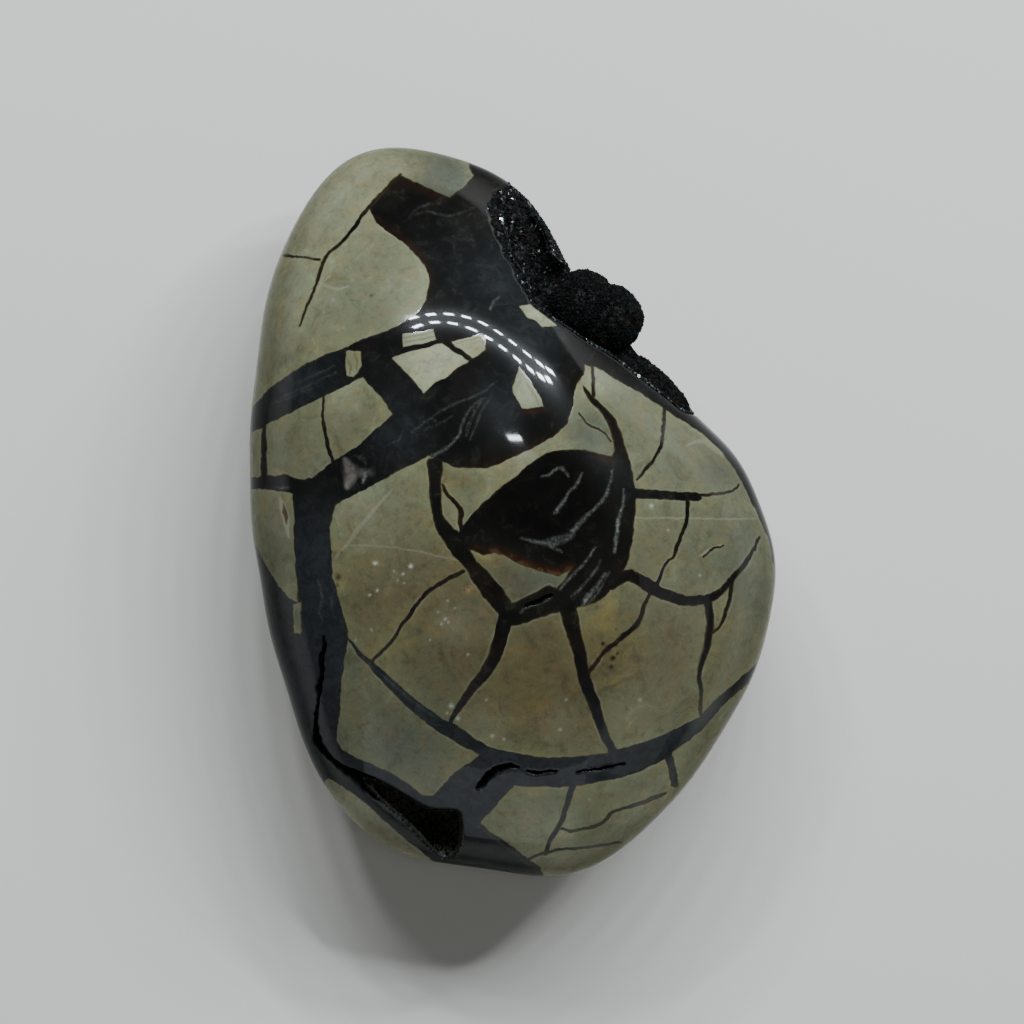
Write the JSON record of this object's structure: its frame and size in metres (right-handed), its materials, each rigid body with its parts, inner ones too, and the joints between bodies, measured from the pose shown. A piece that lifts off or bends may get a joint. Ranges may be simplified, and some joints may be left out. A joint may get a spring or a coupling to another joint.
{
  "type": "septarian nodule",
  "caption": "Polished free-form septarian nodule of grey mudstone and black calcite, with a crystal-lined hollow, lying on a small flat spot.",
  "frame": {"origin": "Centre of the plan outline, at the height of the small flat spot that the stone rests on.", "axes": "+Y runs up the stone's long axis to its narrower end, +X to the right of the polished front, and +Z the way the front faces. The stone lies on its back."},
  "size_m": [0.1192, 0.165, 0.0762],
  "materials": {
    "mudstone": "polished",
    "calcite": "polished",
    "druse": "natural crystal faces"
  },
  "bodies": {
    "root": {"nodule": "mudstone"}
  },
  "joints": []
}
